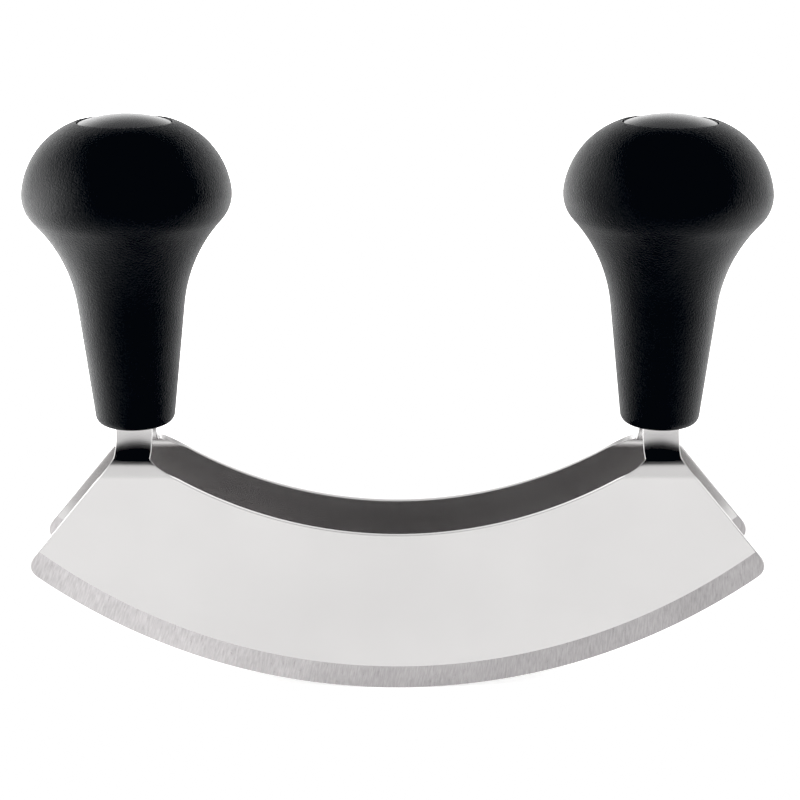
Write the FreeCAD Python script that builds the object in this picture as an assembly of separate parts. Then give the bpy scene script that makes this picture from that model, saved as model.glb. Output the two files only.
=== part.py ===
import FreeCAD, Part
import math
import os

from FreeCAD import Vector

# A two-bladed mezzaluna with knob grips, in millimetres.
# X runs along the blades, Y from the front blade to the rear one, Z up.
# The origin lies midway between the blades, level with the lowest points of the cutting edges.

# Crescent blades
blade_chord = 150.0           # tip to tip
blade_depth = 33.7            # cutting edge to back edge, at mid-length
edge_radius = 123.0           # curve of the cutting edge
back_radius = 88.7            # curve of the back edge
sheet_thickness = 1.2
blade_spread = 23.3           # between the outer faces of the two blades
bevel_width = 5.0             # ground band along the cutting edge, on both faces
edge_land = 0.2               # thickness left at the cutting edge
tip_round = 2.8
grind_overrun_share = 0.4     # how far a grinding cut runs on, as a share of the bevel

# Bent tabs that carry the grips
grip_inset = 21.15            # axis of a grip from the tip of the blade below it
tab_width = 7.4
fold_radius = 2.55            # inside of the bend that leads in from the blade
rise_radius = 4.9             # inside of the bend that leads up into the tang
joggle_flat = 1.0             # straight part between the two bends
root_share = 0.5              # how much of the first bend a tab narrows over, on its underside
tang_gap = 4.6                # between the tangs of the two blades
tang_insert = 27.7            # how far a tang reaches into its grip
tang_clearance = 0.1

# Knob grips
grip_lift = 5.1               # foot of the grip above the root of the tab
foot_radius = 7.9
foot_round = 2.2
shank_taper = math.radians(6.6)
neck_radius = 30.8            # hollow curve from the shank to the head
belly_height = 47.5           # widest part of the head above the foot
belly_radius = 7.5            # curve of the head at its widest
head_radius = 20.85
shoulder_turn = math.radians(7.6)
shoulder_radius = 16.5        # curve of the head from its widest part up to the cap
rim_round = 0.35
web_thickness = 8.0           # plastic between the tangs and the floor of the well
well_radius = 5.2

# Domed caps
cap_radius = 9.3
cap_gap = 0.15                # open line between a cap and its grip
cap_drop = 0.45               # edge of the cap below the edge of its socket
cap_rim_thickness = 1.8
cap_crown = 1.75              # rise of the dome
cap_round = 0.35
skirt_depth = 5.0
skirt_thickness = 1.3
skirt_clearance = 0.1

# Screws, washers and bar nuts
screw_radius = 1.5
screw_clearance = 0.2
screw_tip_length = 3.7        # past the nut
screw_tip_chamfer = 0.4
head_width = 5.6
head_height = 2.3
head_round = 0.9
drive_length = 3.2            # cross recess, from end to end
drive_width = 0.8
drive_depth = 1.3
washer_radius = 3.5
washer_thickness = 0.5
nut_width = 5.0               # the ends of the nut are flush with the tangs
nut_thickness = 1.8
nut_drop = 6.0                # upper face of the nut below the tops of the tangs
nut_clearance = 0.1
thread_clearance = 0.05

overrun = 2.0                 # how far other cutting shapes run past what they cut

# Levels and centres worked out from the sizes above
grip_spacing = blade_chord - 2 * grip_inset
tab_inner = (grip_spacing - tab_width) / 2
tab_outer = (grip_spacing + tab_width) / 2
back_centre = blade_depth + back_radius
root_height = back_centre - math.sqrt(back_radius ** 2 - tab_inner ** 2)
tang_face = tang_gap / 2 + sheet_thickness
outer_fold = fold_radius + sheet_thickness
outer_rise = rise_radius + sheet_thickness
bend_reach = outer_fold + rise_radius
bend_excess = tang_face + bend_reach - blade_spread / 2
joggle_reach = math.hypot(bend_reach, joggle_flat)
joggle_slope = math.atan2(joggle_flat, bend_reach) + math.asin(bend_excess / joggle_reach)
joggle_along = Vector(0, math.cos(joggle_slope), math.sin(joggle_slope))
joggle_normal = Vector(0, -joggle_along.z, joggle_along.y)
fold_centre = Vector(0, outer_fold - blade_spread / 2, root_height - outer_fold * joggle_normal.z)
rise_centre = fold_centre + joggle_normal * bend_reach + joggle_along * joggle_flat
grip_foot = root_height + grip_lift
tang_top = grip_foot + tang_insert
well_floor = tang_top + web_thickness
screw_seat = well_floor + washer_thickness
nut_top = tang_top - nut_drop
nut_bottom = nut_top - nut_thickness
screw_end = nut_bottom - screw_tip_length
screw_hole = screw_radius + screw_clearance
socket_radius = cap_radius + cap_gap
belly = Vector(head_radius - belly_radius, 0, grip_foot + belly_height)
shoulder_start = Vector(math.cos(shoulder_turn), 0, math.sin(shoulder_turn))
shoulder = belly + shoulder_start * (belly_radius - shoulder_radius)
socket_edge = shoulder.z + math.sqrt(shoulder_radius ** 2 - (socket_radius - shoulder.x) ** 2)
cap_edge = socket_edge - cap_drop
cap_seat = cap_edge - cap_rim_thickness

sides = {"left": -1, "right": 1}


def line(start, end):
    return Part.LineSegment(start, end).toShape()


def arc_about(centre, start, end):
    # the shorter arc between two points that lie equally far from the centre
    middle = (start - centre) + (end - centre)
    middle.Length = (start - centre).Length
    return Part.Arc(start, centre + middle, end).toShape()


def flat_face(edges):
    return Part.Face(Part.Wire(edges))


def turned(edges):
    return flat_face(edges).revolve(Vector(), Vector(0, 0, 1), 360)


def mirrored(point):
    return Vector(-point.x, point.y, point.z)


def block(width_x, width_y, bottom, top):
    corner = Vector(-width_x / 2, -width_y / 2, bottom)
    return Part.makeBox(width_x, width_y, top - bottom, corner)


def rod(radius, bottom, top):
    return Part.makeCylinder(radius, top - bottom, Vector(0, 0, bottom))


def on_grip_axis(shape, side):
    return shape.translated(Vector(side * grip_spacing / 2, 0, 0))


# Section of the front blade, its two bends and its tang, drawn out along the blade
def bent_strip():
    outer = -blade_spread / 2
    inner = outer + sheet_thickness
    front = [
        Vector(0, outer, -overrun),
        Vector(0, outer, fold_centre.z),
        fold_centre + joggle_normal * outer_fold,
        rise_centre - joggle_normal * rise_radius,
        Vector(0, -tang_face, rise_centre.z),
        Vector(0, -tang_face, tang_top),
    ]
    rear = [
        Vector(0, inner, -overrun),
        Vector(0, inner, fold_centre.z),
        fold_centre + joggle_normal * fold_radius,
        rise_centre - joggle_normal * outer_rise,
        Vector(0, -tang_gap / 2, rise_centre.z),
        Vector(0, -tang_gap / 2, tang_top),
    ]
    edges = []
    for path in (front, rear):
        edges.append(line(path[0], path[1]))
        edges.append(arc_about(fold_centre, path[1], path[2]))
        edges.append(line(path[2], path[3]))
        edges.append(arc_about(rise_centre, path[3], path[4]))
        edges.append(line(path[4], path[5]))
    edges.append(line(front[0], rear[0]))
    edges.append(line(front[-1], rear[-1]))
    section = flat_face(Part.__sortEdges__(edges))
    section.translate(Vector(-blade_chord / 2 - overrun, 0, 0))
    return section.extrude(Vector(blade_chord + 2 * overrun, 0, 0))


# Crescent and tabs as seen from the front, drawn out past both faces of the front blade
def crescent():
    # round of the tip, inside the cutting edge
    edge_centre = Vector(0, 0, edge_radius)
    tip_reach = edge_radius - tip_round
    tip_x = blade_chord / 2 - tip_round
    tip = Vector(tip_x, 0, edge_radius - math.sqrt(tip_reach ** 2 - tip_x ** 2))
    tip_start = edge_centre + (tip - edge_centre) * (edge_radius / tip_reach)

    # the straight end runs from the tab and touches that round
    root = Vector(tab_outer, 0, root_height)
    to_tip = tip - root
    end_angle = math.atan2(to_tip.z, to_tip.x) + math.asin(tip_round / to_tip.Length)
    end_length = math.sqrt(to_tip.Length ** 2 - tip_round ** 2)
    tip_end = root + Vector(math.cos(end_angle), 0, math.sin(end_angle)) * end_length

    back_corner = Vector(tab_inner, 0, root_height)
    top_outer = Vector(tab_outer, 0, tang_top + overrun)
    top_inner = Vector(tab_inner, 0, tang_top + overrun)

    edges = [
        Part.Arc(mirrored(tip_start), Vector(), tip_start).toShape(),
        Part.Arc(mirrored(back_corner), Vector(0, 0, blade_depth), back_corner).toShape(),
        arc_about(tip, tip_start, tip_end),
        arc_about(mirrored(tip), mirrored(tip_start), mirrored(tip_end)),
    ]
    corners = [tip_end, root, top_outer, top_inner, back_corner]
    for start, end in zip(corners, corners[1:]):
        edges.append(line(start, end))
        edges.append(line(mirrored(start), mirrored(end)))
    outline = flat_face(Part.__sortEdges__(edges))
    outline.translate(Vector(0, -blade_spread / 2 - overrun, 0))
    return outline.extrude(Vector(0, blade_spread / 2 + 2 * overrun, 0))


# From above: full width into the first bend, then two stems that narrow to the width of a tab
def tab_plan():
    height = tang_top + 2 * overrun
    narrow_y = fold_centre.y - fold_radius * root_share
    under_bend = fold_centre.z + fold_radius * math.sqrt(1 - root_share ** 2)
    back_edge = math.sqrt(back_radius ** 2 - (back_centre - under_bend) ** 2)
    half_plan = [
        Vector(grip_spacing / 2 - back_edge, narrow_y, -overrun),
        Vector(tab_width / 2, fold_centre.y + outer_fold * joggle_normal.y, -overrun),
        Vector(tab_width / 2, overrun, -overrun),
    ]
    points = half_plan + [mirrored(point) for point in reversed(half_plan)]
    edges = []
    for start, end in zip(points, points[1:] + points[:1]):
        edges.append(line(start, end))
    stem_plan = flat_face(edges).extrude(Vector(0, 0, height))

    corner = Vector(-blade_chord / 2 - overrun, -blade_spread / 2 - overrun, -overrun)
    depth = narrow_y - corner.y
    plan = Part.makeBox(blade_chord + 2 * overrun, depth, height, corner)
    for side in sides.values():
        plan = plan.fuse(on_grip_axis(stem_plan, side))
    return plan


# Ring that grinds one face of the front blade down towards the cutting edge
def grinding_ring(face_y, land_y):
    def bevel_point(share):
        return Vector(0, land_y + (face_y - land_y) * share, bevel_width * share)

    low = bevel_point(-grind_overrun_share)
    high = bevel_point(1 + grind_overrun_share)
    corner = Vector(0, high.y, low.z)
    section = flat_face([line(low, high), line(high, corner), line(corner, low)])
    return section.revolve(Vector(0, 0, edge_radius), Vector(0, 1, 0), 360)


# Window that holds one end of the nut
def tang_window():
    depth = 2 * (tang_face + overrun)
    return block(nut_width + 2 * nut_clearance, depth, nut_bottom - nut_clearance, nut_top)


def front_blade():
    blade = bent_strip().common(crescent()).common(tab_plan())
    outer = -blade_spread / 2
    middle = outer + sheet_thickness / 2
    blade = blade.cut(grinding_ring(outer, middle - edge_land / 2))
    blade = blade.cut(grinding_ring(outer + sheet_thickness, middle + edge_land / 2))
    for side in sides.values():
        blade = blade.cut(on_grip_axis(tang_window(), side))
    return blade.removeSplitter()


# Small round where the curve of a head or dome meets an upright wall; towards is 1 where
# the material lies outside the wall and -1 where it lies inside
def rim_points(centre, radius, wall_radius, round_radius, towards):
    x = wall_radius + towards * round_radius
    drop = math.sqrt((radius - round_radius) ** 2 - (x - centre.x) ** 2)
    round_centre = Vector(x, 0, centre.z + drop)
    on_curve = centre + (round_centre - centre) * (radius / (radius - round_radius))
    on_wall = Vector(wall_radius, 0, round_centre.z)
    return on_curve, round_centre, on_wall


# Knob turned about its axis: foot, tapered shank, hollow neck, belly, shoulder, socket and well
def grip():
    along = Vector(math.sin(shank_taper), 0, math.cos(shank_taper))
    outward = Vector(math.cos(shank_taper), 0, -math.sin(shank_taper))
    foot_corner = Vector(foot_radius, 0, grip_foot)
    foot_inset = foot_round * (1 - math.sin(shank_taper)) / math.cos(shank_taper)
    foot_centre = foot_corner + Vector(-foot_inset, 0, foot_round)
    foot_edge = Vector(foot_centre.x, 0, grip_foot)
    shank_start = foot_centre + outward * foot_round

    # the neck touches the straight shank below and the belly above
    neck_line = foot_corner + outward * neck_radius - belly
    neck_reach = neck_radius + belly_radius
    ahead = neck_line.dot(along)
    run = -ahead - math.sqrt(ahead ** 2 - neck_line.dot(neck_line) + neck_reach ** 2)
    shank_end = foot_corner + along * run
    neck = shank_end + outward * neck_radius
    neck_end = belly + (neck - belly) * (belly_radius / neck_reach)

    belly_end = belly + shoulder_start * belly_radius
    rim_outer, rim_centre, rim_inner = rim_points(shoulder, shoulder_radius, socket_radius, rim_round, 1)
    inside = [
        rim_inner,
        Vector(socket_radius, 0, cap_seat),
        Vector(well_radius, 0, cap_seat),
        Vector(well_radius, 0, well_floor),
        Vector(0, 0, well_floor),
        Vector(0, 0, grip_foot),
        foot_edge,
    ]
    edges = [
        arc_about(foot_centre, foot_edge, shank_start),
        line(shank_start, shank_end),
        arc_about(neck, shank_end, neck_end),
        arc_about(belly, neck_end, belly_end),
        arc_about(shoulder, belly_end, rim_outer),
        arc_about(rim_centre, rim_outer, rim_inner),
    ]
    for start, end in zip(inside, inside[1:]):
        edges.append(line(start, end))
    knob = turned(edges)

    slot_width = tab_width + 2 * tang_clearance
    slot_depth = sheet_thickness + 2 * tang_clearance
    slot = block(slot_width, slot_depth, grip_foot - overrun, tang_top)
    tang_middle = (tang_gap + sheet_thickness) / 2
    for slot_y in (-tang_middle, tang_middle):
        knob = knob.cut(slot.translated(Vector(0, slot_y, 0)))
    channel_width = nut_width + 2 * nut_clearance
    channel_depth = 2 * (tang_face + nut_clearance)
    knob = knob.cut(block(channel_width, channel_depth, grip_foot - overrun, nut_top + nut_clearance))
    return knob.cut(rod(screw_hole, nut_top, well_floor + overrun))


# Domed disc with a skirt that plugs the well
def cap():
    dome_radius = (cap_radius ** 2 + cap_crown ** 2) / (2 * cap_crown)
    dome_top = Vector(0, 0, cap_edge + cap_crown)
    dome = dome_top - Vector(0, 0, dome_radius)
    dome_edge, round_centre, wall_top = rim_points(dome, dome_radius, cap_radius, cap_round, -1)
    skirt_outer = well_radius - skirt_clearance
    skirt_inner = skirt_outer - skirt_thickness
    below = [
        wall_top,
        Vector(cap_radius, 0, cap_seat),
        Vector(skirt_outer, 0, cap_seat),
        Vector(skirt_outer, 0, cap_seat - skirt_depth),
        Vector(skirt_inner, 0, cap_seat - skirt_depth),
        Vector(skirt_inner, 0, cap_seat),
        Vector(0, 0, cap_seat),
        dome_top,
    ]
    edges = [arc_about(dome, dome_top, dome_edge), arc_about(round_centre, dome_edge, wall_top)]
    for start, end in zip(below, below[1:]):
        edges.append(line(start, end))
    return turned(edges)


# Pan-head screw with a cross recess
def screw():
    pan_radius = head_width / 2
    head_top = screw_seat + head_height
    round_centre = Vector(pan_radius - head_round, 0, head_top - head_round)
    round_start = round_centre + Vector(head_round, 0, 0)
    round_end = round_centre + Vector(0, 0, head_round)
    points = [
        round_end,
        Vector(0, 0, head_top),
        Vector(0, 0, screw_end),
        Vector(screw_radius - screw_tip_chamfer, 0, screw_end),
        Vector(screw_radius, 0, screw_end + screw_tip_chamfer),
        Vector(screw_radius, 0, screw_seat),
        Vector(pan_radius, 0, screw_seat),
        round_start,
    ]
    edges = [arc_about(round_centre, round_start, round_end)]
    for start, end in zip(points, points[1:]):
        edges.append(line(start, end))
    recess = block(drive_length, drive_width, head_top - drive_depth, head_top + overrun)
    recess = recess.fuse(block(drive_width, drive_length, head_top - drive_depth, head_top + overrun))
    return turned(edges).cut(recess)


def washer():
    disc = rod(washer_radius, well_floor, screw_seat)
    return disc.cut(rod(screw_hole, well_floor - overrun, screw_seat + overrun))


def nut():
    plate = block(nut_width, 2 * tang_face, nut_bottom, nut_top)
    return plate.cut(rod(screw_radius + thread_clearance, nut_bottom - overrun, nut_top + overrun))


blade = front_blade()
pieces = {"front_blade": blade, "rear_blade": blade.mirror(Vector(), Vector(0, 1, 0))}
for side_name, side in sides.items():
    for make in (grip, cap, screw, washer, nut):
        pieces[side_name + "_" + make.__name__] = on_grip_axis(make(), side)

os.makedirs("parts", exist_ok=True)
for node, shape in pieces.items():
    shape.exportStep("parts/" + node + ".step")
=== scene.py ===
import math

import bmesh
import bpy
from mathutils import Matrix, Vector


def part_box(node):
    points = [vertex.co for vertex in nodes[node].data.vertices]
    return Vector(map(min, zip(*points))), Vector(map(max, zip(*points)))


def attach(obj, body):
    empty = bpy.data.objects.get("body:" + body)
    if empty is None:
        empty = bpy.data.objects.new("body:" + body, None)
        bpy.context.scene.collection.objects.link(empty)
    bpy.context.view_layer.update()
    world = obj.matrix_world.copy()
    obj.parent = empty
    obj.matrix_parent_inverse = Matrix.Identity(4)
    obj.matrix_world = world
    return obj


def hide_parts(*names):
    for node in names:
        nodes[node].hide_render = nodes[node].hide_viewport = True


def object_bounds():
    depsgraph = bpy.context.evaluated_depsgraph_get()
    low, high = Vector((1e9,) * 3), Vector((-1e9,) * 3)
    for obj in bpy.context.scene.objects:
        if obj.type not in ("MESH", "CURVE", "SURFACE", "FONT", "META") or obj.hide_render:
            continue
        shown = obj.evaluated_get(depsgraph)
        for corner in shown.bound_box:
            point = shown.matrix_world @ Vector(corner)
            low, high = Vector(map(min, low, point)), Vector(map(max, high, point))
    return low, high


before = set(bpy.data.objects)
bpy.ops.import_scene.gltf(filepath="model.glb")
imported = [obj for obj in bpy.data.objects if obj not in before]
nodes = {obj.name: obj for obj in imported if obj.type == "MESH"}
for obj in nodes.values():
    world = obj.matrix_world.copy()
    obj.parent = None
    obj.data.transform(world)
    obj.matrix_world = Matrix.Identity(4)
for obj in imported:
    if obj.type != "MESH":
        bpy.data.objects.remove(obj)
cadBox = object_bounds()
mm = 0.001
wideNoise = (0.3, 0.7)           # where nearly all values of a noise lie
coreNoise = (0.35, 0.65)         # where most of them lie
print("frame loaded,", len(nodes), "CAD nodes")


# small helpers for node trees

def newMaterial(name):
    material = bpy.data.materials.new(name)
    material.use_nodes = True
    tree = material.node_tree
    return material, tree, tree.nodes["Principled BSDF"]


def plug(tree, socket, value):
    if isinstance(value, bpy.types.NodeSocket):
        tree.links.new(value, socket)
    else:
        socket.default_value = value


def calc(tree, operation, first, second=0.0):
    node = tree.nodes.new("ShaderNodeMath")
    node.operation = operation
    plug(tree, node.inputs[0], first)
    plug(tree, node.inputs[1], second)
    return node.outputs[0]


def remap(tree, value, low, high, newLow=0.0, newHigh=1.0, smooth=False):
    node = tree.nodes.new("ShaderNodeMapRange")
    node.interpolation_type = "SMOOTHSTEP" if smooth else "LINEAR"
    for socket, number in zip(node.inputs, (value, low, high, newLow, newHigh)):
        plug(tree, socket, number)
    return node.outputs[0]


def mixTones(tree, factor, look):
    node = tree.nodes.new("ShaderNodeMix")
    node.data_type = "RGBA"
    plug(tree, node.inputs["Factor"], factor)
    plug(tree, node.inputs[6], look["darkTone"])     # colours A and B
    plug(tree, node.inputs[7], look["lightTone"])
    return node.outputs[2]


def mixNoises(tree, first, second, share):
    first = calc(tree, "MULTIPLY", first, share)
    return calc(tree, "ADD", first, calc(tree, "MULTIPLY", second, 1 - share))


def objectPoint(tree):
    return tree.nodes.new("ShaderNodeTexCoord").outputs["Object"]


def split(tree, vector):
    node = tree.nodes.new("ShaderNodeSeparateXYZ")
    plug(tree, node.inputs[0], vector)
    return node.outputs


def join(tree, x, y, z):
    node = tree.nodes.new("ShaderNodeCombineXYZ")
    for socket, value in zip(node.inputs, (x, y, z)):
        plug(tree, socket, value)
    return node.outputs[0]


def noise(tree, vector, scale, detail=2.0, roughness=0.5):
    node = tree.nodes.new("ShaderNodeTexNoise")
    plug(tree, node.inputs["Vector"], vector)
    node.inputs["Scale"].default_value = scale
    node.inputs["Detail"].default_value = detail
    node.inputs["Roughness"].default_value = roughness
    return node.outputs["Fac"]


def bump(tree, shader, height, look):
    node = tree.nodes.new("ShaderNodeBump")
    node.inputs["Strength"].default_value = look["bumpStrength"]
    node.inputs["Distance"].default_value = look["bumpDepth"]
    plug(tree, node.inputs["Height"], height)
    tree.links.new(node.outputs["Normal"], shader.inputs["Normal"])


# small helpers for objects

def addObject(name, data):
    thing = bpy.data.objects.new(name, data)
    bpy.context.scene.collection.objects.link(thing)
    return thing


def addMesh(name, bm):
    mesh = bpy.data.meshes.new(name)
    bm.to_mesh(mesh)
    bm.free()
    return addObject(name, mesh)


# satin stainless sheet, rolled lengthwise
satinSteel = {
    "darkTone": (0.500, 0.492, 0.490, 1.0),
    "lightTone": (0.560, 0.552, 0.549, 1.0),
    "gloss": (0.20, 0.24),       # roughness of the smoothest and the roughest streaks
    "grainAcross": 14000.0,      # fine lines per metre, roughly
    "grainAlong": 90.0,
    "grainDetail": 3.0,
    "grainShare": 0.5,           # rest of the tone comes from the clouds
    "cloudScale": 35.0,
    "cloudDetail": 3.0,
    "lineStretch": 0.8,          # how far the polishing lines draw out a reflection
    "lineTurn": 0.25,
    "lineWay": (1.0, 0.0, 0.0),  # the lines run along the blade
    "bumpStrength": 0.03,
    "bumpDepth": 0.01 * mm,
}


def makeSatinSteel():
    look = satinSteel
    material, tree, shader = newMaterial("satinSteelSheet")
    x, y, z = split(tree, objectPoint(tree))
    along = calc(tree, "MULTIPLY", x, look["grainAlong"])
    across = calc(tree, "MULTIPLY", calc(tree, "ADD", y, z), look["grainAcross"])
    grain = noise(tree, join(tree, along, across, 0.0), 1.0, look["grainDetail"])
    cloud = noise(tree, objectPoint(tree), look["cloudScale"], look["cloudDetail"])
    tone = remap(tree, mixNoises(tree, grain, cloud, look["grainShare"]), *wideNoise)
    plug(tree, shader.inputs["Base Color"], mixTones(tree, tone, look))
    plug(tree, shader.inputs["Roughness"], remap(tree, grain, *wideNoise, *look["gloss"]))
    shader.inputs["Metallic"].default_value = 1.0
    shader.inputs["Anisotropic"].default_value = look["lineStretch"]
    shader.inputs["Anisotropic Rotation"].default_value = look["lineTurn"]
    plug(tree, shader.inputs["Tangent"], join(tree, *look["lineWay"]))
    bump(tree, shader, grain, look)
    return material


# ground band of the cutting edge, scored across by the wheel
groundSteel = {
    "darkTone": (0.36, 0.348, 0.351, 1.0),
    "lightTone": (0.575, 0.557, 0.561, 1.0),
    "gloss": (0.26, 0.38),
    "fanPoint": (0.05, 0.35),    # the score lines run away from this point in X and Z
    "scoreAcross": 3000.0,       # score lines per metre, roughly
    "scoreAlong": 420.0,
    "scoreDetail": 3.0,
    "scoreHarshness": 0.6,
    "scoreShare": 0.7,           # rest of the tone comes from the patches
    "patchScale": 90.0,
    "paintedShadeReach": (-0.06, 0.03),  # painted shade: the band's colour darkens from this X to that one
    "paintedShadeTone": (1.0, 0.7),
    "bumpStrength": 1.0,
    "bumpDepth": 0.03 * mm,
}


def makeGroundSteel():
    look = groundSteel
    material, tree, shader = newMaterial("groundEdgeSteel")
    fanX, fanZ = look["fanPoint"]
    x, y, z = split(tree, objectPoint(tree))
    drop = calc(tree, "SUBTRACT", fanZ, z)
    turn = calc(tree, "ARCTAN2", calc(tree, "SUBTRACT", x, fanX), drop)
    across = calc(tree, "MULTIPLY", turn, fanZ * look["scoreAcross"])
    along = calc(tree, "MULTIPLY", drop, look["scoreAlong"])
    score = noise(tree, join(tree, across, along, 0.0), 1.0, look["scoreDetail"], look["scoreHarshness"])
    patch = noise(tree, objectPoint(tree), look["patchScale"])
    tone = remap(tree, mixNoises(tree, score, patch, look["scoreShare"]), *wideNoise)
    paintedShade = tree.nodes.new("ShaderNodeVectorMath")
    paintedShade.operation = "SCALE"
    plug(tree, paintedShade.inputs[0], mixTones(tree, tone, look))
    # painted shade: the band's base colour is scaled down towards +X, darker at the right-hand end
    plug(tree, paintedShade.inputs["Scale"], remap(tree, x, *look["paintedShadeReach"], *look["paintedShadeTone"], smooth=True))
    plug(tree, shader.inputs["Base Color"], paintedShade.outputs[0])
    plug(tree, shader.inputs["Roughness"], remap(tree, score, *wideNoise, *look["gloss"]))
    shader.inputs["Metallic"].default_value = 1.0
    bump(tree, shader, score, look)
    return material


# black moulded plastic with a fine eroded grain
knobPlastic = {
    "darkTone": (0.0022, 0.0023, 0.0026, 1.0),
    "lightTone": (0.0052, 0.0054, 0.0058, 1.0),
    "gloss": (0.40, 0.52),
    "bendOfLight": 1.4,
    "grainScale": 2700.0,
    "grainDetail": 2.0,
    "grainHarshness": 0.6,
    "grainShare": 0.6,           # rest of the gloss comes from the clouds
    "cloudScale": 60.0,
    "cloudDetail": 3.0,
    "bumpStrength": 0.65,
    "bumpDepth": 0.2 * mm,
}


def makeKnobPlastic():
    look = knobPlastic
    material, tree, shader = newMaterial("grainedKnobPlastic")
    point = objectPoint(tree)
    grain = noise(tree, point, look["grainScale"], look["grainDetail"], look["grainHarshness"])
    cloud = noise(tree, point, look["cloudScale"], look["cloudDetail"])
    mottle = mixNoises(tree, grain, cloud, look["grainShare"])
    plug(tree, shader.inputs["Base Color"], mixTones(tree, remap(tree, grain, *coreNoise), look))
    plug(tree, shader.inputs["Roughness"], remap(tree, mottle, *coreNoise, *look["gloss"]))
    shader.inputs["IOR"].default_value = look["bendOfLight"]
    bump(tree, shader, grain, look)
    return material


# smoother plastic of the domed caps
capPlastic = {
    "darkTone": (0.0095, 0.0096, 0.0104, 1.0),
    "lightTone": (0.0115, 0.0116, 0.0124, 1.0),
    "gloss": (0.25, 0.29),
    "bendOfLight": 1.55,
    "grainScale": 1500.0,
    "bumpStrength": 0.2,
    "bumpDepth": 0.01 * mm,
}


def makeCapPlastic():
    look = capPlastic
    material, tree, shader = newMaterial("satinCapPlastic")
    grain = noise(tree, objectPoint(tree), look["grainScale"])
    plug(tree, shader.inputs["Base Color"], mixTones(tree, remap(tree, grain, *coreNoise), look))
    plug(tree, shader.inputs["Roughness"], remap(tree, grain, *coreNoise, *look["gloss"]))
    shader.inputs["IOR"].default_value = look["bendOfLight"]
    bump(tree, shader, grain, look)
    return material


# zinc-plated screws, washers and nuts inside the knobs
zincPlate = {
    "darkTone": (0.48, 0.49, 0.50, 1.0),
    "lightTone": (0.68, 0.68, 0.66, 1.0),
    "gloss": (0.25, 0.42),
    "spangleScale": 900.0,
    "spangleDetail": 3.0,
}


def makeZincPlate():
    look = zincPlate
    material, tree, shader = newMaterial("zincPlatedSteel")
    spangle = noise(tree, objectPoint(tree), look["spangleScale"], look["spangleDetail"])
    plug(tree, shader.inputs["Base Color"], mixTones(tree, remap(tree, spangle, *coreNoise), look))
    plug(tree, shader.inputs["Roughness"], remap(tree, spangle, *coreNoise, *look["gloss"]))
    shader.inputs["Metallic"].default_value = 1.0
    return material


# One blade is a pressing: an all-quad middle surface, thickened to both sides and closed by a rolled rim.
# Outline and bends follow the CAD blade; what the frame can tell is read from it.
bladeSizes = {
    "depth": 33.7 * mm,          # cutting edge to back edge, at mid-length
    "edgeCurve": 123.0 * mm,
    "backCurve": 88.7 * mm,
    "sheet": 1.2 * mm,
    "groundWidth": 5.0 * mm,
    "edgeLand": 0.2 * mm,
    "tipRound": 2.8 * mm,
    "tabWidth": 7.4 * mm,
    "foldInside": 2.55 * mm,     # bend that leads in from the blade
    "riseInside": 4.9 * mm,      # bend that leads up into the tang
    "joggleFlat": 1.0 * mm,      # straight part between the two bends
    "windowGap": 0.1 * mm,       # around the nut
    "rolledEdge": 0.2 * mm,      # soft edge left by the press and the tumbler
    "rollShare": 0.9,            # most of the half thickness that the rolled edge may take
    "mitreLimit": 0.5,           # keeps the rim from running far in at sharp corners
    "plainColumns": 40,          # on each side of the middle
    "tabColumns": (0.32, 0.5, 0.68),     # across a tab, inside the window
    "tipSteps": 5,
    "bodyRows": 5,
    "groundRows": 2,
    "bendSteps": 8,
    "rimSteps": 3,
}


class BladeLayout:
    # levels and lines of the front blade, worked out once
    def __init__(self, sizes):
        low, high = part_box("front_blade")
        axisLow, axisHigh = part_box("right_cap")
        nutLow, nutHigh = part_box("right_nut")
        axis = (axisLow.x + axisHigh.x) / 2
        self.middleY = low.y + sizes["sheet"] / 2
        self.tangY = high.y - sizes["sheet"] / 2
        self.innerX = axis - sizes["tabWidth"] / 2
        self.outerX = axis + sizes["tabWidth"] / 2
        self.backCurve = sizes["backCurve"]
        self.backCentre = sizes["depth"] + self.backCurve
        self.root = self.backCentre - math.sqrt(self.backCurve ** 2 - self.innerX ** 2)
        self.tangTop = high.z
        self.windowHalf = (nutHigh.x - nutLow.x) / 2 + sizes["windowGap"]
        self.windowBottom = nutLow.z - sizes["windowGap"]
        self.windowTop = nutHigh.z

        # the two bends, their slope where they meet and their centres in YZ
        self.foldMiddle = sizes["foldInside"] + sizes["sheet"] / 2
        self.riseMiddle = sizes["riseInside"] + sizes["sheet"] / 2
        self.foldOutside = sizes["foldInside"] + sizes["sheet"]
        reach = self.foldMiddle + self.riseMiddle
        excess = self.middleY + reach - self.tangY
        span = math.hypot(reach, sizes["joggleFlat"])
        self.slope = math.atan2(sizes["joggleFlat"], reach) + math.asin(excess / span)
        along = Vector((math.cos(self.slope), math.sin(self.slope)))
        upright = Vector((-along.y, along.x))
        self.fold = Vector((self.middleY + self.foldMiddle, self.root - self.foldOutside * upright.y))
        self.rise = self.fold + upright * reach + along * sizes["joggleFlat"]
        self.bendStart = self.fold.y

        # round of the tip and the straight end that touches it
        reach = sizes["edgeCurve"] - sizes["tipRound"]
        tipX = (high.x - low.x) / 2 - sizes["tipRound"]
        self.tip = Vector((tipX, sizes["edgeCurve"] - math.sqrt(reach ** 2 - tipX ** 2)))
        toTip = self.tip - Vector((self.outerX, self.root))
        endSlope = math.atan2(toTip.y, toTip.x) + math.asin(sizes["tipRound"] / toTip.length)
        self.endWay = Vector((math.cos(endSlope), math.sin(endSlope)))
        self.tipFrom = math.atan2(self.tip.y - sizes["edgeCurve"], self.tip.x)
        self.tipTurn = endSlope + math.pi / 2 - self.tipFrom

    def backX(self, z):
        return math.sqrt(self.backCurve ** 2 - (self.backCentre - z) ** 2)

    def endX(self, z):
        return self.outerX + (z - self.root) / self.endWay.y * self.endWay.x


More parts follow.
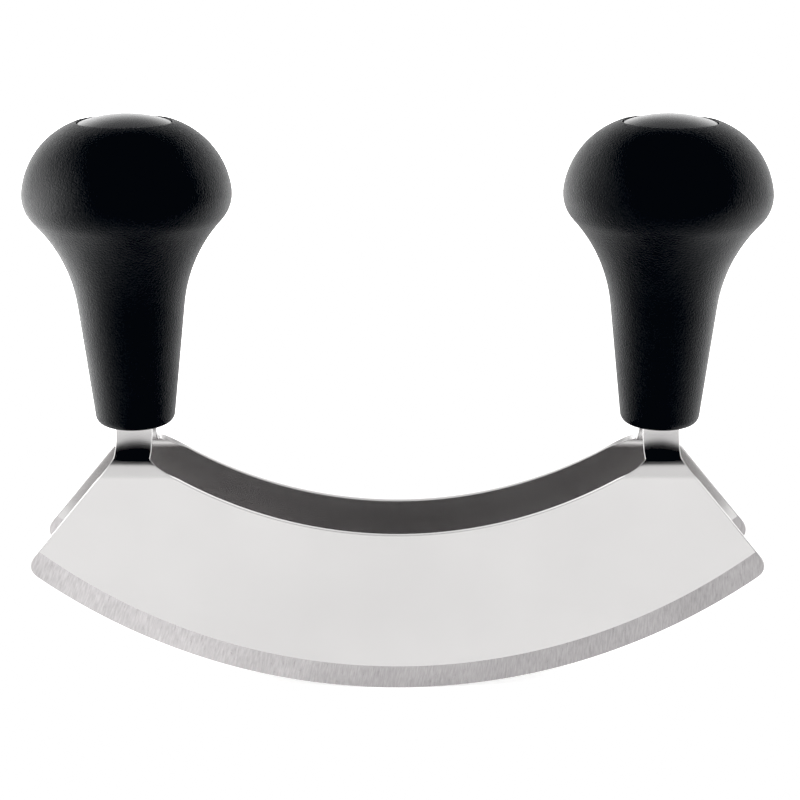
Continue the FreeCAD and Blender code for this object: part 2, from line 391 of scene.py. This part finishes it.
def bladeColumns(sizes, layout):
    # right half of the crescent: for each column its top, ground line and cutting edge, in XZ
    centre = Vector((0.0, sizes["edgeCurve"]))
    groundCurve = sizes["edgeCurve"] - sizes["groundWidth"]

    def onCurve(turn, radius):
        return centre + Vector((math.sin(turn), -math.cos(turn))) * radius

    startX = layout.backX(layout.bendStart)
    stopX = layout.endX(layout.bendStart)
    startTurn = math.atan2(startX, sizes["edgeCurve"] - layout.bendStart)
    tipTurn = math.atan2(layout.tip.x, sizes["edgeCurve"] - layout.tip.y)
    tipX = math.tan(tipTurn) * (sizes["edgeCurve"] - layout.bendStart)
    tipShare = (tipX - startX) / (stopX - startX)

    windowShare = (sizes["tabWidth"] / 2 - layout.windowHalf) / sizes["tabWidth"]
    shares = [0.0, windowShare, *sizes["tabColumns"], 1 - windowShare]
    shares += [tipShare + (1 - tipShare) * i / sizes["tipSteps"] for i in range(sizes["tipSteps"] + 1)]
    shares.sort()

    columns = []
    fall = sizes["edgeCurve"] - layout.backCentre
    for i in range(sizes["plainColumns"]):
        turn = startTurn * i / sizes["plainColumns"]
        radius = fall * math.cos(turn) + math.sqrt(layout.backCurve ** 2 - (fall * math.sin(turn)) ** 2)
        curves = (radius, groundCurve, sizes["edgeCurve"])
        columns.append(tuple(onCurve(turn, curve) for curve in curves))
    for share in shares:
        top = Vector((startX + share * (stopX - startX), layout.bendStart))
        turn = math.atan2(top.x, sizes["edgeCurve"] - top.y)
        edge = onCurve(turn, sizes["edgeCurve"])
        if share >= tipShare:
            angle = layout.tipFrom + layout.tipTurn * (share - tipShare) / (1 - tipShare)
            edge = layout.tip + Vector((math.cos(angle), math.sin(angle))) * sizes["tipRound"]
        way = (edge - top).normalized()
        # point of the column at the ground line's radius
        off = top - centre
        half = off.dot(way)
        run = -half + math.sqrt(half ** 2 - off.length_squared + groundCurve ** 2)
        columns.append((top, top + way * run, edge))
    return columns, shares


def tabRows(sizes, layout):
    # middle surface of a tab above the crescent: y, z, inner and outer x of each row
    rows = []
    swing = math.pi / 2 - layout.slope
    for i in range(1, sizes["bendSteps"] + 1):
        turn = swing * i / sizes["bendSteps"]
        y = layout.fold.x - layout.foldMiddle * math.cos(turn)
        z = layout.fold.y + layout.foldMiddle * math.sin(turn)
        face = layout.fold.y + layout.foldOutside * math.sin(turn)
        rows.append((y, z, layout.backX(face), layout.endX(face)))
    for i in range(sizes["bendSteps"] + 1):
        turn = layout.slope + swing * i / sizes["bendSteps"]
        y = layout.rise.x + layout.riseMiddle * math.sin(turn)
        z = layout.rise.y - layout.riseMiddle * math.cos(turn)
        rows.append((y, z, layout.innerX, layout.outerX))
    for z in (layout.windowBottom, layout.windowTop, layout.tangTop):
        rows.append((layout.tangY, z, layout.innerX, layout.outerX))
    return rows


def middleSurface(sizes):
    # returns a bmesh of the middle surface, half thickness per vertex and the ground faces
    layout = BladeLayout(sizes)
    columns, shares = bladeColumns(sizes, layout)
    leftColumns = [tuple(Vector((-p.x, p.y)) for p in column) for column in reversed(columns[1:])]
    bm = bmesh.new()
    half = {}

    def add(x, y, z, thickness):
        vert = bm.verts.new((x, y, z))
        half[vert] = thickness / 2
        return vert

    grid = []
    centre = Vector((0.0, sizes["edgeCurve"]))
    for top, ground, edge in leftColumns + columns:
        line = []
        for i in range(sizes["bodyRows"] + 1):
            p = top.lerp(ground, i / sizes["bodyRows"])
            line.append(add(p.x, layout.middleY, p.y, sizes["sheet"]))
        for i in range(1, sizes["groundRows"] + 1):
            p = ground.lerp(edge, i / sizes["groundRows"])
            inland = (sizes["edgeCurve"] - (p - centre).length) / sizes["groundWidth"]
            thickness = sizes["edgeLand"] + (sizes["sheet"] - sizes["edgeLand"]) * inland
            line.append(add(p.x, layout.middleY, p.y, thickness))
        grid.append(line)

    groundFaces = set()
    for a, b in zip(grid, grid[1:]):
        for i in range(len(a) - 1):
            face = bm.faces.new((a[i], a[i + 1], b[i + 1], b[i]))
            if i >= sizes["bodyRows"]:
                groundFaces.add(face)

    # tabs, with the window for the nut left open
    rows = tabRows(sizes, layout)
    count = len(shares)
    windowFrom = 1
    windowTo = shares.index(1 - shares[windowFrom])
    tops = [line[0] for line in grid]
    for side in (-1, 1):
        below = tops[-count:] if side > 0 else list(reversed(tops[:count]))
        strip = [below]
        for y, z, inner, outer in rows:
            across = [side * (inner + share * (outer - inner)) for share in shares]
            strip.append([add(x, y, z, sizes["sheet"]) for x in across])
        windowRow = len(strip) - 3       # from the window's bottom to its top
        for k, (a, b) in enumerate(zip(strip, strip[1:])):
            for i in range(count - 1):
                if k == windowRow and windowFrom <= i < windowTo:
                    continue
                quad = (a[i], a[i + 1], b[i + 1], b[i])
                bm.faces.new(quad if side > 0 else tuple(reversed(quad)))
    loose = [v for v in bm.verts if not v.link_faces]
    bmesh.ops.delete(bm, geom=loose, context="VERTS")
    bm.normal_update()
    return bm, half, groundFaces


def boundaryLoops(bm):
    # rim edges chained so that the sheet lies on the left of each step
    following = {}
    for edge in bm.edges:
        if edge.is_boundary:
            loop = edge.link_loops[0]
            following[loop.vert] = loop.link_loop_next.vert
    chains = []
    while following:
        start = next(iter(following))
        chain = [start]
        step = following.pop(start)
        while step is not start:
            chain.append(step)
            step = following.pop(step)
        chains.append(chain)
    return chains


def makeBlade(name, turned):
    sizes = bladeSizes
    surface, half, ground = middleSurface(sizes)
    chains = boundaryLoops(surface)
    bm = bmesh.new()
    roll = {}
    inward = {}
    for chain in chains:
        for before, here, after in zip(chain[-1:] + chain[:-1], chain, chain[1:] + chain[:1]):
            a = (here.co - before.co).normalized().cross(here.normal).normalized()
            b = (after.co - here.co).normalized().cross(here.normal).normalized()
            inward[here] = -(a + b) / max(1 + a.dot(b), sizes["mitreLimit"])
            roll[here] = min(sizes["rolledEdge"], sizes["rollShare"] * half[here])

    def skin(side):
        made = {}
        for v in surface.verts:
            p = v.co + v.normal * half[v] * side
            if v in roll:
                p += inward[v] * roll[v]
            made[v] = bm.verts.new(p)
        return made

    front, back = skin(1), skin(-1)
    for face in surface.faces:
        for side, made in ((1, front), (-1, back)):
            corners = [made[v] for v in face.verts]
            skinFace = bm.faces.new(corners if side > 0 else list(reversed(corners)))
            skinFace.material_index = 1 if face in ground else 0

    # rolled rim: quarter round, flat, quarter round
    for chain in chains:
        rings = []
        for v in chain:
            ring = [front[v]]
            for side in (1, -1):
                steps = range(1, sizes["rimSteps"] + 1) if side > 0 else range(sizes["rimSteps"], 0, -1)
                for i in steps:
                    turn = math.pi / 2 * i / sizes["rimSteps"]
                    p = v.co + inward[v] * roll[v] * (1 - math.sin(turn))
                    p += v.normal * side * (half[v] - roll[v] * (1 - math.cos(turn)))
                    ring.append(bm.verts.new(p))
            ring.append(back[v])
            rings.append(ring)
        for a, b in zip(rings, rings[1:] + rings[:1]):
            for i in range(len(a) - 1):
                bm.faces.new((b[i], a[i], a[i + 1], b[i + 1]))

    # crisp line where the ground band starts
    for edge in surface.edges:
        if len(edge.link_faces) == 2 and sum(f in ground for f in edge.link_faces) == 1:
            for made in (front, back):
                bm.edges.get([made[v] for v in edge.verts]).smooth = False
    if turned:
        for v in bm.verts:
            v.co.x, v.co.y = -v.co.x, -v.co.y
    for face in bm.faces:
        face.smooth = True
    bm.normal_update()
    surface.free()
    blade = addMesh(name, bm)
    normals = blade.modifiers.new("flatFaces", "WEIGHTED_NORMAL")
    normals.keep_sharp = True
    return blade


satinFinish = makeSatinSteel()
groundFinish = makeGroundSteel()
bladePieces = (("front_blade", "frontBladeSheet", False), ("rear_blade", "rearBladeSheet", True))
for nodeName, pieceName, turned in bladePieces:
    blade = makeBlade(pieceName, turned)
    blade.data.materials.append(satinFinish)
    blade.data.materials.append(groundFinish)
    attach(blade, "root")
    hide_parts(nodeName)
    print(pieceName, len(blade.data.polygons), "faces")


# domed caps, turned about the knobs' axes like the CAD ones
capSizes = {
    "crown": 1.75 * mm,          # rise of the dome
    "edgeRound": 0.35 * mm,
    "rimThickness": 1.8 * mm,
    "skirtRadius": 5.1 * mm,
    "skirtThickness": 1.3 * mm,
    "domeSteps": 14,
    "roundSteps": 4,
    "turnSteps": 96,
}


def capProfile(radius, top, bottom):
    # radius and height of each ring, from the dome round to the underside,
    # and the number of the ring where the sharp corners start
    sizes = capSizes
    domeRadius = (radius ** 2 + sizes["crown"] ** 2) / (2 * sizes["crown"])
    domeCentre = top - domeRadius
    roundX = radius - sizes["edgeRound"]
    roundReach = domeRadius - sizes["edgeRound"]
    roundZ = domeCentre + math.sqrt(roundReach ** 2 - roundX ** 2)
    edgeTurn = math.asin(roundX / roundReach)
    profile = []
    for i in range(1, sizes["domeSteps"] + 1):
        turn = edgeTurn * i / sizes["domeSteps"]
        profile.append((domeRadius * math.sin(turn), domeCentre + domeRadius * math.cos(turn)))
    for i in range(1, sizes["roundSteps"] + 1):
        turn = edgeTurn + (math.pi / 2 - edgeTurn) * i / sizes["roundSteps"]
        across = sizes["edgeRound"] * math.sin(turn)
        rise = sizes["edgeRound"] * math.cos(turn)
        profile.append((roundX + across, roundZ + rise))
    seat = top - sizes["crown"] - sizes["rimThickness"]
    outer = sizes["skirtRadius"]
    inner = outer - sizes["skirtThickness"]
    corners = [(radius, seat), (outer, seat), (outer, bottom), (inner, bottom), (inner, seat)]
    return profile + corners, len(profile)


def makeCap(name, nodeName):
    low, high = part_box(nodeName)
    axis = (low + high) / 2
    profile, firstCorner = capProfile((high.x - low.x) / 2, high.z, low.z)
    turns = [2 * math.pi * i / capSizes["turnSteps"] for i in range(capSizes["turnSteps"])]
    bm = bmesh.new()
    rings = []
    for radius, height in profile:
        ring = []
        for turn in turns:
            x = axis.x + radius * math.cos(turn)
            y = axis.y + radius * math.sin(turn)
            ring.append(bm.verts.new((x, y, height)))
        rings.append(ring)
    for a, b in zip(rings, rings[1:]):
        for i in range(len(a)):
            bm.faces.new((a[i - 1], b[i - 1], b[i], a[i]))
    for ring, height in ((rings[0], high.z), (rings[-1], profile[-1][1])):
        middle = bm.verts.new((axis.x, axis.y, height))
        for i in range(len(ring)):
            bm.faces.new((ring[i - 1], ring[i], middle))
    bmesh.ops.recalc_face_normals(bm, faces=bm.faces)
    for face in bm.faces:
        face.smooth = True
    for ring in rings[firstCorner:]:
        for i in range(len(ring)):
            bm.edges.get((ring[i - 1], ring[i])).smooth = False
    return addMesh(name, bm)


capFinish = makeCapPlastic()
for nodeName, pieceName in (("left_cap", "leftCapDisc"), ("right_cap", "rightCapDisc")):
    cap = makeCap(pieceName, nodeName)
    cap.data.materials.append(capFinish)
    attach(cap, "root")
    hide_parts(nodeName)
    print(pieceName, len(cap.data.polygons), "faces")

# knobs and fasteners keep their CAD shapes
finishes = {
    "grip": makeKnobPlastic(),
    "screw": makeZincPlate(),
}
finishes["washer"] = finishes["nut"] = finishes["screw"]
for side in ("left", "right"):
    for kind, material in finishes.items():
        piece = nodes[side + "_" + kind]
        piece.data.materials.clear()
        piece.data.materials.append(material)
print("knobs and fasteners finished")


# pale floor that glows like a light table, more so beside and behind the object; ranges in metres
floorLook = {
    "size": 12.0,
    "segments": 24,
    "drop": 0.05 * mm,           # below the cutting edges
    "tone": (0.86, 0.86, 0.86, 1.0),
    "roughness": 0.9,
    "glow": 0.33,
    "footGlow": 0.16,            # painted light: extra glow right at the blades, where their contact shadow falls, keeps the floor white
    "footLength": (0.055, 0.1),
    "footWidth": (0.02, 0.055),
    "sideGlow": 1.55,
    "beside": (0.08, 0.24),
    "behind": (-0.08, 0.06),
    "farBehind": (0.1, 0.2),
    "farAside": (0.03, 0.13),
    "leftBias": 0.3,             # how much brighter it is on the left
    "biasReach": 0.1,
}


def makeFloor():
    look = floorLook
    bm = bmesh.new()
    count = look["segments"]
    bmesh.ops.create_grid(bm, x_segments=count, y_segments=count, size=look["size"] / 2)
    floor = addMesh("paleFloor", bm)
    floor.location.z = cadBox[0].z - look["drop"]
    material, tree, shader = newMaterial("paleFloorBoard")
    shader.inputs["Base Color"].default_value = look["tone"]
    shader.inputs["Roughness"].default_value = look["roughness"]
    shader.inputs["Emission Color"].default_value = (1.0, 1.0, 1.0, 1.0)
    x, y, z = split(tree, objectPoint(tree))
    aside = calc(tree, "ABSOLUTE", x)
    beside = remap(tree, aside, *look["beside"], smooth=True)
    behind = remap(tree, y, *look["behind"], smooth=True)
    farBehind = remap(tree, y, *look["farBehind"], smooth=True)
    farAside = remap(tree, aside, *look["farAside"], smooth=True)
    bias = remap(tree, x, -look["biasReach"], look["biasReach"], 1 + look["leftBias"], 1 - look["leftBias"])
    extra = calc(tree, "MULTIPLY", beside, behind)
    extra = calc(tree, "MAXIMUM", extra, calc(tree, "MULTIPLY", farBehind, farAside))
    extra = calc(tree, "MULTIPLY", calc(tree, "MULTIPLY", extra, bias), look["sideGlow"])
    # painted light on the floor at the blades, lifting their contact shadow
    footX = remap(tree, aside, *look["footLength"], look["footGlow"], 0.0, smooth=True)
    footY = remap(tree, calc(tree, "ABSOLUTE", y), *look["footWidth"], 1.0, 0.0, smooth=True)
    extra = calc(tree, "ADD", extra, calc(tree, "MULTIPLY", footX, footY))
    plug(tree, shader.inputs["Emission Strength"], calc(tree, "ADD", extra, look["glow"]))
    floor.data.materials.append(material)


# light tent, brightest low down behind and at the sides, plain in front and above;
# ranges are parts of a unit direction
tentLook = {
    "sideGlow": 1.95,
    "backGlow": 2.7,
    "frontGlow": 1.5,
    "aboveGlow": 1.5,
    "aboveBehindGlow": 0.8,
    "front": (-0.2, 0.55),
    "back": (0.4, 0.9),
    "height": (0.1, 0.55),
    "aboveBehind": (-0.1, 0.3),
    "sideHeight": 0.4,           # how much higher the side walls glow
    "leftBias": 0.2,             # how much brighter it is on the left
    "paperGlow": 1.4,            # white paper behind the object
}


def makeTent():
    look = tentLook
    world = bpy.data.worlds.new("lightTent")
    bpy.context.scene.world = world
    world.use_nodes = True
    tree = world.node_tree
    tree.nodes.clear()
    x, y, z = split(tree, tree.nodes.new("ShaderNodeTexCoord").outputs["Generated"])
    front = remap(tree, calc(tree, "MULTIPLY", y, -1.0), *look["front"], smooth=True)
    rear = remap(tree, y, *look["back"], look["sideGlow"], look["backGlow"], smooth=True)
    bias = remap(tree, x, -1.0, 1.0, 1 + look["leftBias"], 1 - look["leftBias"])
    ring = remap(tree, front, 0.0, 1.0, rear, look["frontGlow"])
    ring = calc(tree, "MULTIPLY", ring, bias)
    wall = calc(tree, "MULTIPLY", calc(tree, "ABSOLUTE", x), look["sideHeight"])
    height = remap(tree, calc(tree, "SUBTRACT", z, wall), *look["height"], smooth=True)
    above = remap(tree, y, *look["aboveBehind"], look["aboveGlow"], look["aboveBehindGlow"], smooth=True)
    lift = calc(tree, "MULTIPLY", calc(tree, "SUBTRACT", above, ring), height)
    tent = tree.nodes.new("ShaderNodeBackground")
    tree.links.new(calc(tree, "ADD", ring, lift), tent.inputs["Strength"])
    paper = tree.nodes.new("ShaderNodeBackground")
    paper.inputs["Strength"].default_value = look["paperGlow"]
    mix = tree.nodes.new("ShaderNodeMixShader")
    tree.links.new(tree.nodes.new("ShaderNodeLightPath").outputs["Is Camera Ray"], mix.inputs[0])
    tree.links.new(tent.outputs[0], mix.inputs[1])
    tree.links.new(paper.outputs[0], mix.inputs[2])
    out = tree.nodes.new("ShaderNodeOutputWorld")
    tree.links.new(mix.outputs[0], out.inputs["Surface"])


# softbox overhead for the floor, kept out of the reflections,
# and a small lamp for the gloss on the left knob
lamps = {
    "softboxPower": 5.2,
    "softboxSize": 1.6,
    "softboxSpot": (0.0, 0.0, 1.1),
    "leftPower": 0.027,
    "leftSize": 0.055,
    "leftSpot": (-0.14, -0.014, 0.104),
}


def makeLamp(name, power, size, spot):
    lamp = bpy.data.lights.new(name, "AREA")
    lamp.energy = power
    lamp.size = size
    holder = addObject(name, lamp)
    holder.location = spot
    holder.visible_camera = False
    return holder


def makeLamps():
    softbox = makeLamp("overheadSoftbox", lamps["softboxPower"], lamps["softboxSize"], lamps["softboxSpot"])
    softbox.visible_glossy = False
    leftLamp = makeLamp("leftLamp", lamps["leftPower"], lamps["leftSize"], lamps["leftSpot"])
    leftLamp.visible_diffuse = False
    low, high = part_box("left_grip")
    toKnob = (low + high) / 2 - leftLamp.location
    leftLamp.rotation_euler = toKnob.to_track_quat("-Z", "Y").to_euler()


makeFloor()
makeTent()
makeLamps()
print("floor and light tent ready")


# camera where the photograph was taken from
cameraPlace = {
    "spot": (0.5 * mm, -386.63 * mm, 169.69 * mm),
    "lookDown": 15.97,           # degrees below level
    "lens": 88.2,
    "sensor": 36.0,
    "clip": (0.01, 50.0),
}


def makeCamera():
    place = cameraPlace
    lens = bpy.data.cameras.new("photoCamera")
    lens.lens = place["lens"]
    lens.sensor_width = place["sensor"]
    lens.clip_start, lens.clip_end = place["clip"]
    camera = addObject("photoCamera", lens)
    camera.location = place["spot"]
    camera.rotation_euler.x = math.radians(90.0 - place["lookDown"])
    bpy.context.scene.camera = camera


# deep shadows of the photograph
shadowTones = {
    "blackPoint": 0.045,
    "blackTint": (0.0009, 0.0015, 0.0026),    # what full black comes out as
}


def setTones():
    tones = shadowTones
    view = bpy.context.scene.view_settings
    view.view_transform = "Standard"
    view.look = "None"
    view.exposure = 0.0
    view.gamma = 1.0
    view.use_curve_mapping = True
    curves = view.curve_mapping
    curves.black_level = (tones["blackPoint"],) * 3
    curves.extend = "HORIZONTAL"
    for curve, lowest in zip(curves.curves, tones["blackTint"]):
        curve.points[0].location = (0.0, lowest)
    curves.update()


makeCamera()
setTones()
print("camera ready")

bpy.context.view_layer.update()
